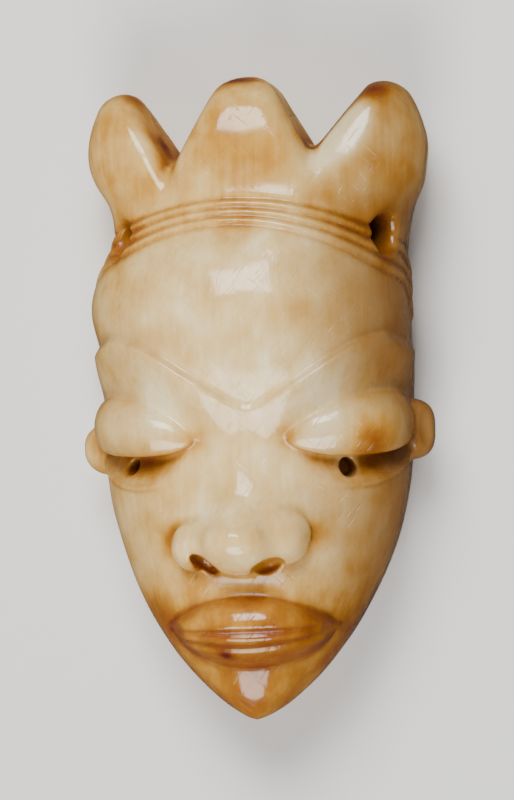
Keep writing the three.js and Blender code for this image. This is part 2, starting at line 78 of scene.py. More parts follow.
# A smooth function through [y, value] stations
def through(*stations):
    places, values = np.array(stations, float).T
    number = np.arange(len(places))
    after = np.minimum(number + 1, number[-1])
    before = np.maximum(number - 1, 0)
    slopes = (values[after] - values[before]) / (places[after] - places[before])

    def value_at(y):
        i = np.clip(np.searchsorted(places, y) - 1, 0, number[-1] - 1)
        step = places[i + 1] - places[i]
        t = np.clip((y - places[i]) / step, 0, 1)
        bend = slopes[i] * t * (1 - t) ** 2 - slopes[i + 1] * t * t * (1 - t)
        return lerp(values[i], values[i + 1], t * t * (3 - 2 * t)) + step * bend

    return value_at


skull_width = through(
    [-5, 14.85], [1, 15.05], [4.5, 15], [8, 15.4], [11, 15.2], [14, 14.4], [16, 14.25], [18.5, 14.75],
    [21, 15.95], [24, 16.55], [26.5, 16.6], [29, 15.9], [31, 14],
)
front_z = through(
    [-31, 10.5], [-30.7, 12.4], [-30.2, 13.4], [-29.5, 14.05], [-28.5, 14.7], [-27.5, 15.15], [-26.3, 15.5],
    [-25, 15.8], [-23, 16.8], [-21, 17.6], [-18.5, 18.3], [-14, 19], [-8, 19.6], [-3, 20.4], [1, 21.5],
    [4.5, 22.3], [8, 22.6], [11, 22.2], [14, 21], [16.5, 19.7], [19, 18.8], [22, 18.4], [25, 18.25],
    [27, 17.9], [28.6, 17.2], [30, 15.7], [31, 12.5],
)
back_z = through(
    [-31, 9], [-30.4, 6.6], [-29.2, 4.4], [-27.5, 2], [-25.5, -0.4], [-23, -2.5], [18.5, -2.5],
    [23.5, -0.3], [27, 2.6], [29.5, 5], [31, 7.5],
)
middle_x = through(
    [-31, -0.4], [-22, -0.3], [-13, 0], [4, 0], [8.8, -0.45], [12.6, 0], [15.5, 0.7], [19, 0.85], [22.5, 0.5],
    [31, 0.4],
)


def half_width(y):
    t = np.clip((JAW_TOP_Y - y) / (JAW_TOP_Y - CHIN_Y), 0, SHORT_OF_CHIN)
    return np.where(y > JAW_TOP_Y, skull_width(y), CHEEK * (1 - t**JAW_POWER) ** JAW_ROOT)


def skull(p):
    x, y, z = p
    front = z >= WIDEST_Z
    power = np.where(front, FRONT_ROUNDNESS, BACK_ROUNDNESS)
    wide = half_width(y)
    deep = np.where(front, front_z(y) - WIDEST_Z, WIDEST_Z - back_z(y))
    across = np.abs((x - middle_x(y)) / wide) ** power
    out = np.abs((z - WIDEST_Z) / deep) ** power
    return ((across + out) ** (1 / power) - 1) * np.minimum(wide, deep)


# Crown: three blunt lobes parted by two V-shaped notches, the side lobes gouged hollow towards the notches
LOBES = (
    dict(tip=(-12.7, 29.9), radius=2.9, inner=30, outer=30),
    dict(tip=(0, 31), radius=3.5, inner=28.5, outer=28.5),
    dict(tip=(13.6, 30.75), radius=3.1, inner=41, outer=30),
)
NOTCH_FLARE = 0.15
FLARE_Z = 10.5
NOTCH_BOTTOM = 1.2
LOBE_ROUNDING = 2.4
SCOOPS = (
    dict(at=(-5.6, 29.8, 22.2), radii=(7.4, 8.8, 7.4)),
    dict(at=(7.8, 29.8, 22.2), radii=(7.8, 8.8, 7.4)),
)
SCOOP_EDGE = 0.8
CROWN_FROM_Y = 15
TINY = 1e-6


# Rises smoothly from 0 at the start to 1 where it is full, in either direction
def smoothstep(value, start, full):
    share = np.clip((value - start) / (full - start), 0, 1)
    return share * share * (3 - 2 * share)


def join(a, b, rounding):
    near = np.maximum(rounding - np.abs(a - b), 0) / rounding
    return np.minimum(a, b) - near * near * rounding / 4


def keep_inside(a, b, rounding):
    return -join(-a, -b, rounding)


def cut(form, hole, rounding):
    return keep_inside(form, -hole, rounding)


# Distance to an ellipsoid whose axes are turned about Z and then tipped about X, in degrees
def ellipsoid(p, at, radii, turn=0, tip=0):
    c, s = math.cos(math.radians(turn)), math.sin(math.radians(turn))
    ct, st = math.cos(math.radians(tip)), math.sin(math.radians(tip))
    axes = np.array([[c, -s, 0], [s * ct, c * ct, -st], [s * st, c * st, ct]])
    local = (np.stack(p, 1) - at) @ axes
    near = np.linalg.norm(local / radii, axis=1)
    steep = np.linalg.norm(local / np.square(radii), axis=1)
    return near * (near - 1) / np.maximum(steep, TINY)


def lobe_outline(p, tip, radius, inner, outer):
    x, y, z = p
    u = (x - tip[0]) * (math.copysign(1, tip[0]) if tip[0] else 1)
    v = tip[1] - radius - y
    inner, outer = math.radians(inner), math.radians(outer)
    flared = NOTCH_FLARE * np.maximum(0, z - FLARE_Z) * smoothstep(-u, -radius, radius) * (tip[0] != 0)
    lean = np.where(u > 0, outer, inner)
    outer_flank = u * math.cos(outer) - v * math.sin(outer) - radius
    inner_flank = -u * math.cos(inner) - v * math.sin(inner) - radius + flared
    above = v * np.cos(lean) + np.abs(u) * np.sin(lean) < 0
    return np.where(above, np.hypot(u, v) - radius + flared, np.maximum(outer_flank, inner_flank))


def crown_outline(p):
    left, middle, right = (lobe_outline(p, **lobe) for lobe in LOBES)
    left, right = (cut(lobe, ellipsoid(p, **scoop), SCOOP_EDGE) for lobe, scoop in zip((left, right), SCOOPS))
    return join(join(left, middle, NOTCH_BOTTOM), right, NOTCH_BOTTOM)


# Headband: three low rounded ridges that arch over the forehead and fall back round the head, spreading. The cord
# has worn them away round the mouths of its hole.
BAND_TOP = dict(y=18.95, arch=0.018, skew=0.02, fall=0.03)
BAND_BOTTOM = dict(y=16.5, arch=0.023, skew=0.045, fall=0.06)
BAND_FALL_Z = (13, 5)
BAND_RIDGES = 3
BAND_HEIGHT = 0.3
BAND_SHARPNESS = 0.8
BAND_GROOVE = 0.5
BAND_BORDER = 0.35
BAND_FADE_Z = (1, 6)
BAND_WORN = dict(y=15.4, z=14.8, reach=2.8)
BAND_WORN_X = (12, 14)


def bump(distance, width):
    return np.exp(-((distance / width) ** 2))


def band_edge(p, y, arch, skew, fall):
    across, up, out = p
    fallen = BAND_FALL_Z[0] - np.clip(out, BAND_FALL_Z[1], BAND_FALL_Z[0])
    return y - arch * across**2 - skew * across - fall * fallen**2


def band_relief(p):
    x, y, z = p
    bottom = band_edge(p, **BAND_BOTTOM)
    from_hole = np.hypot(y - BAND_WORN["y"], z - BAND_WORN["z"])
    worn = bump(from_hole, BAND_WORN["reach"]) * smoothstep(np.abs(x), *BAND_WORN_X)
    height = BAND_HEIGHT * smoothstep(z, *BAND_FADE_Z) * (1 - worn)
    row = (y - bottom) / (band_edge(p, **BAND_TOP) - bottom) * BAND_RIDGES
    past = np.where(row < 0, row, row - BAND_RIDGES)
    ridges = np.abs(np.sin(row * np.pi)) ** BAND_SHARPNESS - BAND_GROOVE
    on_band = (row >= 0) & (row <= BAND_RIDGES)
    return height * np.where(on_band, ridges, -BAND_GROOVE * bump(past, BAND_BORDER))


# Brow: two wings rising outwards from the root of the nose, a rounded step above and a hollow below
BROW_ROOT = (0.4, -1.6)
BROW_ROOT_ROUNDING = 1.2
BROW_RISE = 0.66
BROW_TOP_Y = 5.8
BROW_TURN = 13.2
BROW_FALL = 0.55
BROW_TURN_ROUNDING = 1.6
BROW_HEIGHT = 0.85
BROW_SQUARE_TO = 0.86
BROW_EDGE = 0.4
BROW_UNDERCUT = 1.35
BROW_UNDERCUT_FROM = 0.2
BROW_DEPTH = 5
BROW_SETTLES_IN = 4
BROW_ROOT_SHARE = 0.45
BROW_WING_X = (0.5, 4.5)
BROW_TEMPLE_Z = (4, 17)
BROW_TEMPLE_POWER = 0.8


def brow_line(x):
    rising = BROW_ROOT[1] + BROW_RISE * np.hypot(x - BROW_ROOT[0], BROW_ROOT_ROUNDING)
    falling = BROW_TOP_Y - BROW_FALL * np.maximum(0, np.abs(x) - BROW_TURN)
    return join(rising, falling, BROW_TURN_ROUNDING)


def brow_relief(p):
    x, y, z = p
    below = (brow_line(x) - y) * BROW_SQUARE_TO
    step = smoothstep(below, -BROW_EDGE, BROW_EDGE)
    rest = 1 - BROW_UNDERCUT * smoothstep(below, BROW_UNDERCUT_FROM, BROW_DEPTH)
    settle = 1 - smoothstep(below, BROW_DEPTH, BROW_DEPTH + BROW_SETTLES_IN)
    wing = lerp(BROW_ROOT_SHARE, 1, smoothstep(np.abs(x), *BROW_WING_X))
    temple = smoothstep(z, *BROW_TEMPLE_Z) ** BROW_TEMPLE_POWER
    return BROW_HEIGHT * step * rest * settle * wing * temple


# Eyes, measured round the head from the inner corner (0) to the outer corner (1): a lid like half an almond that
# overhangs a hollow, and a low rim below it
EYE_INNER = dict(left=66, right=71)
EYE_OUTER = 4
EYE_LINE = (-3.8, 3.2, 1.7)
EYES_Y = (-12, 4)
EYES_BEHIND_WIDEST = 3
LID_PEAK = 0.58
LID_FULLNESS = 1.25
LID_HALF = dict(left=2.75, right=2.95)
LID_BULGE = 2.0
LID_TEMPLE_BULGE = 1.1
LID_DROOP = 0.3
LID_BULGE_SHARE = (0.35, 0.95)
LID_ROUNDNESS = 0.75
LID_EDGE = 0.3
LID_SQUARE_TO = 0.9
LID_JOIN = 0.35
HOLLOW_HALF = 5.4
HOLLOW_TOP = 2.4
HOLLOW_PEAK = 0.52
HOLLOW_FULLNESS = 1.3
HOLLOW_DEPTH = 2.3
HOLLOW_EDGE = 0.4
RIM_HEIGHT = 0.35
RIM_RISES = (0.15, 0.5)
RIM_ENDS = (0.9, 1.05)
RIM_OUTSIDE = 0.13
RIM_WIDTH = 0.12


def eye_share(p):
    x, y, z = p
    inner = np.where(x < 0, EYE_INNER["left"], EYE_INNER["right"])
    return (inner - np.degrees(np.arctan2(z - WIDEST_Z, np.abs(x)))) / (inner - EYE_OUTER)


def eye_middle(share):
    return EYE_LINE[0] + EYE_LINE[1] * share - EYE_LINE[2] * share**2


def almond(share, peak, power):
    away = np.where(share < peak, (peak - share) / peak, (share - peak) / (1 - peak))
    inside = 1 - away * away
    return np.where((inside > 0) & (share < peak), np.abs(inside) ** power, inside)


def lid(p, head):
    x, y, z = p
    share = eye_share(p)
    middle = eye_middle(share)
    half = np.where(x < 0, LID_HALF["left"], LID_HALF["right"])
    plan = almond(share, LID_PEAK, LID_FULLNESS)
    low = (y - middle + LID_DROOP) / (half + LID_DROOP)
    full = lerp(LID_BULGE, LID_TEMPLE_BULGE, smoothstep(share, *LID_BULGE_SHARE))
    swell = plan - low * low
    swell = np.where(swell > 0, np.abs(swell) ** LID_ROUNDNESS, swell)
    edge = middle - half * np.sqrt(np.maximum(0, plan))
    return keep_inside(head - full * swell, (edge - y) * LID_SQUARE_TO, LID_EDGE)


def hollow_depth(p):
    x, y, z = p
    share = eye_share(p)
    above = y - eye_middle(share)
    v = above / np.where(above > 0, HOLLOW_TOP, HOLLOW_HALF)
    return HOLLOW_DEPTH * (almond(share, HOLLOW_PEAK, HOLLOW_FULLNESS) - v * v)


def rim_relief(p):
    x, y, z = p
    share = eye_share(p)
    outer = smoothstep(share, *RIM_RISES) * (1 - smoothstep(share, *RIM_ENDS))
    rim = RIM_HEIGHT * outer * bump(hollow_depth(p) / HOLLOW_DEPTH + RIM_OUTSIDE, RIM_WIDTH)
    return np.where(y > eye_middle(share), 0, rim)


# Nose: a broad bridge that swells to a ball, with a wing on each side and a crease round each wing
NOSE_BALL = dict(at=(-0.75, -13.9, 20.6), radii=(3.7, 2.75, 4.3), tip=-12)
NOSE_WINGS = (
    dict(at=(-5.0, -14.1, 19.0), radii=(2.3, 2.2, 2.5)),
    dict(at=(3.6, -13.3, 19.4), radii=(2.3, 2.5, 2.8)),
)
BALL_ROUNDING = 1.6
NOSE_ROUNDING = (0.7, 3)
NOSE_ROUNDING_Y = (-15.5, -11)
WING_CREASE = dict(depth=0.3, width=0.6)
WING_CREASE_X = (3, 5)
WING_CREASE_Y = (-17.5, -15.5)
NOSE_MIDDLE_X = -0.6
BRIDGE_HEIGHT = 2.1
BRIDGE_MIDDLE_X = -0.2
BRIDGE_WIDTH = (3.4, 4.4)
BRIDGE_RISES_Y = (-2, -12)
BRIDGE_ENDS_Y = (-14, -17.5)


def bridge_relief(p):
    x, y, z = p
    down = smoothstep(y, *BRIDGE_RISES_Y) * (1 - smoothstep(y, *BRIDGE_ENDS_Y))
    return BRIDGE_HEIGHT * down * bump(x - BRIDGE_MIDDLE_X, lerp(*BRIDGE_WIDTH, down))


def wing_crease(p, nose, form):
    x, y, z = p
    crease = WING_CREASE["depth"] * bump(nose - form, WING_CREASE["width"])
    return crease * smoothstep(np.abs(x - NOSE_MIDDLE_X), *WING_CREASE_X) * smoothstep(y, *WING_CREASE_Y)


# Mouth: a lens that stands out of the jaw, crossed by two lines into three thin lips
MOUTH_HALF = 7.9
MOUTH_HEIGHT = 3
MOUTH_CREST = 0.55
MOUTH_SWELL = 0.75
MOUTH_TAPER = 0.4
MOUTH_CORNER = 3
MOUTH_SKIRT = 2
MOUTH_THINNEST = 0.8
MOUTH_ROUNDING = 1.2
TOP_LINE = dict(y=-18.8, x=-0.3, half=8.2, drop=2.9, power=2.4)
BOTTOM_LINE = dict(y=-21.6, drop=4.1, power=0.6, slant=0.02)
LIP_LINES = ((-22.2, 0.02, 0.003), (-23.7, 0.04, 0.02))
LIP_LINE_WIDTH = 0.32
LIP_LINE_DEPTH = 0.45
LOWER_FACE_Y = -8


def mouth(p, head):
    x, y, z = p
    ends = 1 - (x / MOUTH_HALF) ** 2
    along = np.minimum(1, np.abs(x - TOP_LINE["x"]) / TOP_LINE["half"])
    top = TOP_LINE["y"] - TOP_LINE["drop"] * along ** TOP_LINE["power"]
    bottom = BOTTOM_LINE["y"] - BOTTOM_LINE["drop"] * np.maximum(0, ends) ** BOTTOM_LINE["power"]
    bottom = bottom + BOTTOM_LINE["slant"] * x
    down = (top - y) / np.maximum(MOUTH_THINNEST, top - bottom)
    away = np.where(down < MOUTH_CREST, (MOUTH_CREST - down) / MOUTH_CREST, (down - MOUTH_CREST) / (1 - MOUTH_CREST))
    inside = np.minimum(1 - away * away, ends * MOUTH_CORNER)
    grooves = sum(bump(y - (at + slant * x + curve * x * x), LIP_LINE_WIDTH) for at, slant, curve in LIP_LINES)
    rise = MOUTH_HEIGHT * np.maximum(0, inside) ** MOUTH_SWELL * np.maximum(0, ends) ** MOUTH_TAPER
    lips = head - rise + LIP_LINE_DEPTH * grooves * np.sqrt(np.maximum(0, inside))
    return np.where(inside > 0, lips, head - MOUTH_SKIRT * inside)


# Ears: small discs standing out of the temples, with a groove inside the rim
EARS = (
    dict(at=(-13.9, -4.6, 8.2), radii=(3.1, 2.6, 2.3), power=2.3),
    dict(at=(13.7, -3.3, 8.2), radii=(3.45, 3.0, 2.4), power=3),
)
EAR_GROOVE = dict(out=0.2, up=2.1, half=1.5, share=0.72, depth=0.8, edge=0.4)
EAR_JOIN = 0.25


def ear_form(p, at, radii, power):
    near = np.sum(np.abs((np.stack(p, 1) - at) / radii) ** power, axis=1) ** (1 / power)
    return (near - 1) * min(radii)


def grooved_ear(p, at, radii, power):
    groove = EAR_GROOVE
    groove_at = (at[0] + math.copysign(1, at[0]) * (radii[0] + groove["out"]), at[1], at[2] + groove["up"])
    hollowed = ellipsoid(p, groove_at, (groove["half"], radii[1] * groove["share"], groove["depth"]))
    return cut(ear_form(p, at, radii, power), hollowed, groove["edge"])


# Holes: pupils drilled under the lids, nostrils, and the cord hole from temple to temple behind the headband,
# its mouths worn wide by the cord
PUPILS = (
    dict(at=(-11.6, -6.4, 14.5), radius=0.75, turn=-38),
    dict(at=(9.3, -6.75, 16), radius=0.95, turn=25),
)
PUPIL_REACH = 2.5
PUPIL_EDGE = 0.35
NOSTRILS = (
    dict(at=(-3.95, -15.8, 20.6), radii=(1.7, 0.7, 3), turn=-40),
    dict(at=(1.95, -16.0, 20.9), radii=(1.7, 0.8, 3), turn=22),
)
NOSTRIL_EDGE = 0.4
CORD_HOLE = dict(y=15.4, z=14.8, x=14, slope=0.5, radius=1.6)
CORD_MOUTH = dict(radius=2.3, outer_x=18, inner_x=10.5)
CORD_EDGE = 0.8


def pupil(p, at, radius, turn):
    line = np.array([math.sin(math.radians(turn)), 0, math.cos(math.radians(turn))])
    away = np.stack(p, 1) - at
    along = np.clip(away @ line, -PUPIL_REACH, PUPIL_REACH)
    return np.linalg.norm(away - along[:, None] * line, axis=1) - radius


def cord_hole(p):
    x, y, z = p
    worn = np.maximum(0, np.abs(x) - CORD_MOUTH["inner_x"]) / (CORD_MOUTH["outer_x"] - CORD_MOUTH["inner_x"])
    radius = lerp(CORD_HOLE["radius"], CORD_MOUTH["radius"], worn)
    height = CORD_HOLE["z"] - CORD_HOLE["slope"] * (CORD_HOLE["x"] - np.abs(x))
    return np.hypot(y - CORD_HOLE["y"], (z - height) * math.cos(math.atan(CORD_HOLE["slope"]))) - radius


# The whole carving: the head with its relief, cut to the crown, then the eyes, the lower face, the flat back, the
# ears and the holes
def carving(points):
    p = points.T
    x, y, z = p
    head = skull(p)
    form = head - band_relief(p) - brow_relief(p) - rim_relief(p) - bridge_relief(p)
    form = np.where(y > CROWN_FROM_Y, keep_inside(form, crown_outline(p), LOBE_ROUNDING), form)
    eyes = join(keep_inside(form, head + hollow_depth(p), HOLLOW_EDGE), lid(p, head), LID_JOIN)
    near_eyes = (z > WIDEST_Z - EYES_BEHIND_WIDEST) & (y < EYES_Y[1]) & (y > EYES_Y[0])
    form = np.where(near_eyes, eyes, form)
    nose = ellipsoid(p, **NOSE_BALL)
    for wing in NOSE_WINGS:
        nose = join(nose, ellipsoid(p, **wing), BALL_ROUNDING)
    rounding = lerp(*NOSE_ROUNDING, smoothstep(y, *NOSE_ROUNDING_Y))
    face = join(form, nose, rounding) + wing_crease(p, nose, form)
    face = join(face, mouth(p, head), MOUTH_ROUNDING)
    form = np.where((z > WIDEST_Z) & (y < LOWER_FACE_Y), face, form)
    form = keep_inside(form, -z, BACK_EDGE)
    for ear in EARS:
        form = join(form, grooved_ear(p, **ear), EAR_JOIN)
    for hole in PUPILS:
        form = cut(form, pupil(p, **hole), PUPIL_EDGE)
    for nostril in NOSTRILS:
        form = cut(form, ellipsoid(p, **nostril), NOSTRIL_EDGE)
    return cut(form, cord_hole(p), CORD_EDGE)


# The skin of the carving: the solid's faces melted into small even ones, whose corners are moved onto the carved
# form and evened out among their neighbours, before and after those at sharp turns of the form are split
SAME_PLACE = 0.001
SKIN_STEP = 0.4
SHARP_TURN = 11
GRADIENT_STEP = 0.02
FURTHEST_MOVE = 0.25
LEAST_STEEP = 0.3


def slope_of(points):
    slope = np.empty_like(points)
    for axis in range(3):
        step = np.zeros(3)
        step[axis] = GRADIENT_STEP
        slope[:, axis] = (carving(points + step) - carving(points - step)) / (2 * GRADIENT_STEP)
    return slope


def corners_of(piece):
    points = np.empty(len(piece.data.vertices) * 3)
    piece.data.vertices.foreach_get("co", points)
    return points.reshape(-1, 3) / MM


def edges_of(piece):
    ends = np.empty(len(piece.data.edges) * 2, int)
    piece.data.edges.foreach_get("vertices", ends)
    return ends.reshape(-1, 2)


def neighbour_mean(points, ends):
    total = np.zeros_like(points)
    count = np.bincount(ends.ravel(), minlength=len(points))
    for axis in range(points.shape[1]):
        total[:, axis] += np.bincount(ends[:, 0], points[ends[:, 1], axis], len(points))
        total[:, axis] += np.bincount(ends[:, 1], points[ends[:, 0], axis], len(points))
    return total / np.maximum(count, 1)[:, None]


def settle(piece, rounds, evening):
    points = corners_of(piece)
    ends = edges_of(piece)
    for _ in range(rounds):
        slope = slope_of(points)
        steep = np.linalg.norm(slope, axis=1)
        normal = slope / np.maximum(steep, TINY)[:, None]
        short = np.clip(-carving(points) / np.maximum(steep, LEAST_STEEP), -FURTHEST_MOVE, FURTHEST_MOVE)
        drift = neighbour_mean(points, ends) - points
        drift -= normal * np.sum(drift * normal, axis=1)[:, None]
        points += normal * short[:, None] + evening * drift
    piece.data.vertices.foreach_set("co", (points * MM).ravel())
    piece.data.update()
    return normal


def split_sharp_turns(piece):
    normal = slope_of(corners_of(piece))
    normal /= np.linalg.norm(normal, axis=1)[:, None]
    ends = edges_of(piece)
    turn = np.degrees(np.arccos(np.clip(np.sum(normal[ends[:, 0]] * normal[ends[:, 1]], axis=1), -1, 1)))
    sharp = np.zeros(len(normal), bool)
    sharp[ends[turn > SHARP_TURN].ravel()] = True
    chosen = [any(sharp[v] for v in face.vertices) for face in piece.data.polygons]
    bpy.ops.object.mode_set(mode="EDIT")
    bpy.context.tool_settings.mesh_select_mode = (False, False, True)
    bpy.ops.mesh.select_all(action="DESELECT")
    bpy.ops.object.mode_set(mode="OBJECT")
    piece.data.polygons.foreach_set("select", chosen)
    bpy.ops.object.mode_set(mode="EDIT")
    bpy.ops.mesh.subdivide(number_cuts=1)
    bpy.ops.object.mode_set(mode="OBJECT")


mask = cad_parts["mask"].copy()
mask.data = mask.data.copy()
mask.name = mask.data.name = "mask_ivory"
bpy.context.scene.collection.objects.link(mask)
bpy.ops.object.select_all(action="DESELECT")
mask.select_set(True)
bpy.context.view_layer.objects.active = mask
bpy.ops.object.mode_set(mode="EDIT")
bpy.ops.mesh.select_all(action="SELECT")
bpy.ops.mesh.remove_doubles(threshold=SAME_PLACE * MM)
bpy.ops.object.mode_set(mode="OBJECT")
skin = mask.modifiers.new("even skin", "REMESH")
skin.mode = "VOXEL"
skin.voxel_size = SKIN_STEP * MM
bpy.ops.object.modifier_apply(modifier=skin.name)
settle(mask, rounds=4, evening=0.5)
split_sharp_turns(mask)
settle(mask, rounds=4, evening=0.45)
outward = settle(mask, rounds=3, evening=0)

# Hand work shows in the polish: the surface waves very slightly from one blade stroke to the next
WAVE_LENGTH = 3.2
WAVE_DEPTH = 0.05
WAVE_FROM_Z = (0.3, 3)
points = corners_of(mask)
wave = np.array([noise.noise(Vector(point) / WAVE_LENGTH) for point in points])
points += outward * (WAVE_DEPTH * wave * smoothstep(points[:, 2], *WAVE_FROM_Z))[:, None]

# The lids keep the small facets of the blade that rounded them
FACET_LENGTH = 1.2
FACET_DEPTH = 0.08
FACET_PLACES = ((-10, -2.6, 19), (10, -2.4, 19))
FACET_REACH = 3.4
FACET_LEAST = 0.05


def nearness(points, place, reach):
    return bump(np.linalg.norm(points - place, axis=1), reach)


for lid_place in FACET_PLACES:
    on_lid = nearness(points, lid_place, FACET_REACH)
    chosen = np.flatnonzero(on_lid > FACET_LEAST)
    facets = np.array([noise.noise(Vector(point) / FACET_LENGTH) for point in points[chosen]])
    points[chosen] += outward[chosen] * (FACET_DEPTH * on_lid[chosen] * np.abs(facets))[:, None]
points = np.clip(points, np.array(solid_box[0]) / MM, np.array(solid_box[1]) / MM)
mask.data.vertices.foreach_set("co", (points * MM).ravel())
mask.data.update()
bpy.ops.object.shade_smooth()

# Where patina gathers: in every hollow, as seen by how much of the form stands round a place. It has been wiped from
# the tip of the chin, the lids and the edge of the brow. Round the pupils it is lessened as painted light, so that
# the deep holes read lighter than their own shade.
HOLLOW_REACH = (0.35, 0.9, 2.0, 4.5)
HOLLOW_EVENING = 2
CHIN_WIPED_Y = (-30, -26)
LIDS_WIPED = dict(share=0.7, from_y=(-4, -2.4), to_y=(12, 9))
BROW_WIPED = dict(share=0.7, reach=1.2)
PUPILS_LIGHTENED = (0.1, 0.9)
PUPIL_LIGHTENED_REACH = 2
slope = slope_of(points)
steep = np.linalg.norm(slope, axis=1)
outward = slope / steep[:, None]
hollow = np.zeros(len(points))
for reach in HOLLOW_REACH:
    hollow += np.clip(1 - carving(points + outward * reach) / (reach * steep), 0, 1) / len(HOLLOW_REACH)
for _ in range(HOLLOW_EVENING):
    hollow = neighbour_mean(hollow[:, None], edges_of(mask))[:, 0]
x, y, z = points.T
on_lids = LIDS_WIPED["share"] * smoothstep(y, *LIDS_WIPED["from_y"]) * smoothstep(y, *LIDS_WIPED["to_y"])
hollow *= smoothstep(y, *CHIN_WIPED_Y) * (1 - on_lids)
hollow *= 1 - BROW_WIPED["share"] * bump(y - brow_line(x), BROW_WIPED["reach"])
# Painted light: less patina round the pupils
for hole, share in zip(PUPILS, PUPILS_LIGHTENED):
    hollow *= 1 - share * nearness(points, hole["at"], PUPIL_LIGHTENED_REACH)

# Skin oil has turned it honey all over, and deeper on the lower face, the sides, the crown and under the lids. The
# lids have been rubbed pale. The scooped fronts of the side lobes are painted pale, partly as rubbed wear and partly
# as painted light on these faces turned up to the lamp.
HONEY_ALL_OVER = 0.13
HONEY_SIDES = dict(depth=0.08, x=(5, 12))
HONEY_LOWER_FACE = dict(depth=0.36, y=(-15, -22))
HONEY_CROWN = dict(depth=0.22, y=24, flatness=0.8, reach=4.6)
HONEY_UPWARD = dict(depth=0.1, y=(14, 17))
HONEY_PLACES = (
    ((12.2, -4.4, 18), 3.2, 0.32),
    ((-10, -5.2, 18), 3, 0.2),
    ((-9, -1, 20), 3.2, -0.2),
    ((8, -1, 20), 3.2, -0.2),
)
PALE_AND_LIT_SCOOPS = dict(depth=0.5, reach=1.1, x=(5, 8), above_y=19)
sides = HONEY_SIDES["depth"] * smoothstep(np.abs(x), *HONEY_SIDES["x"])
lower_face = HONEY_LOWER_FACE["depth"] * smoothstep(y, *HONEY_LOWER_FACE["y"])
from_crown = np.hypot(x, (y - HONEY_CROWN["y"]) / HONEY_CROWN["flatness"])
crown = HONEY_CROWN["depth"] * bump(from_crown, HONEY_CROWN["reach"])
honey_and_lit_scoops = HONEY_ALL_OVER + sides + lower_face
honey_and_lit_scoops += crown + HONEY_UPWARD["depth"] * smoothstep(y, *HONEY_UPWARD["y"])
for at, reach, amount in HONEY_PLACES:
    honey_and_lit_scoops += amount * nearness(points, at, reach)
# Wear and painted light: the scooped fronts of the side lobes are painted paler
for scoop in SCOOPS:
    in_scoop = PALE_AND_LIT_SCOOPS["depth"] * bump(ellipsoid((x, y, z), **scoop), PALE_AND_LIT_SCOOPS["reach"])
    honey_and_lit_scoops -= in_scoop * smoothstep(np.abs(x), *PALE_AND_LIT_SCOOPS["x"]) * (y > PALE_AND_LIT_SCOOPS["above_y"])

# The right side is darkened as a whole, partly a darker patina and partly painted shade of the side turned away from
# the light, though less on the crown and round its eye. The left side is darkened a little below the forehead, as
# painted shade.
SHADE_RIGHT_X = (1, 15)
SHADE_SPARED = dict(place=(11.5, -4, 18.5), reach=4)
SHADE_CROWN = dict(share=0.45, y=(17, 22))
SHADE_LEFT = dict(depth=0.25, x=(-5, -12), y=(14, 6))
patina_and_shade = smoothstep(x, *SHADE_RIGHT_X) * (1 - nearness(points, **SHADE_SPARED))
patina_and_shade *= 1 - SHADE_CROWN["share"] * smoothstep(y, *SHADE_CROWN["y"])
patina_and_shade += SHADE_LEFT["depth"] * smoothstep(x, *SHADE_LEFT["x"]) * smoothstep(y, *SHADE_LEFT["y"])

# Brown stains, each with its place, its reach and its depth of colour: the tips of the crown, the bottoms of its
# notches, the mouths of the cord hole, the nostrils and the creases round the nose, the inner corners of the
# eyes, and a pit in the lip. At the mouths of the cord hole the brown is partly the stain and partly painted shade
# inside the bore.
STAINS_AND_HOLE_SHADE = (
    ((-10.9, 29.3, 12.0), 1.6, 0.5),
    ((-0.9, 30.7, 13.6), 1.6, 0.55),
    ((12.2, 29.6, 13.6), 1.8, 0.5),
    ((-8.0, 24.5, 12.0), 1.1, 0.45),
    ((6.3, 24.0, 13.5), 1.0, 0.5),
    # Stain and painted shade: the mouths of the cord hole
    ((13.0, 15.2, 14.6), 2.4, 0.6),
    ((-13.2, 15.2, 14.6), 2.4, 0.6),
    ((-3.95, -15.8, 19.6), 2.0, 0.3),
    ((1.95, -16.0, 19.9), 2.0, 0.3),
    ((-7.0, -13.2, 17.6), 1.5, 0.42),
    ((6.0, -12.8, 18.0), 1.5, 0.5),
    ((-4.6, -4.0, 19.4), 1.3, 0.25),
    ((4.0, -3.6, 19.8), 1.2, 0.25),
    ((-2.5, -24.4, 18.0), 0.7, 0.5),
)
stain_and_hole_shade = np.zeros(len(points))
for at, reach, amount in STAINS_AND_HOLE_SHADE:
    stain_and_hole_shade = np.maximum(stain_and_hole_shade, amount * nearness(points, at, reach))
patina_and_shade *= 1 - stain_and_hole_shade

# Handling polishes the front; what turns away from it, the hollows and the stains stay duller
POLISH_FACING = (-0.3, 0.5)
POLISH_HOLLOW = (0.12, 0.4)
facing = smoothstep(outward[:, 2], *POLISH_FACING)
polished = facing * (1 - smoothstep(hollow, *POLISH_HOLLOW)) * (1 - stain_and_hole_shade)


def paint(name, values):
    layer = mask.data.attributes.new(name, "FLOAT", "POINT")
    layer.data.foreach_set("value", values)


paint("hollow", hollow)
paint("honey_and_lit_scoops", honey_and_lit_scoops)
paint("patina_and_shade", patina_and_shade)
paint("stain_and_hole_shade", stain_and_hole_shade)
paint("polished", polished)


# Ivory: dense tooth ivory, carved, then polished by handling. It has a soft gloss with fine scratches in it, light
# sinks a little way in and comes back warm, and old skin oil has stained it honey to red-brown in the hollows.
def linear(hex_colour):
    channels = [int(hex_colour[i : i + 2], 16) / 255 for i in (0, 2, 4)]
    return [c / 12.92 if c <= 0.04045 else ((c + 0.055) / 1.055) ** 2.4 for c in channels] + [1]


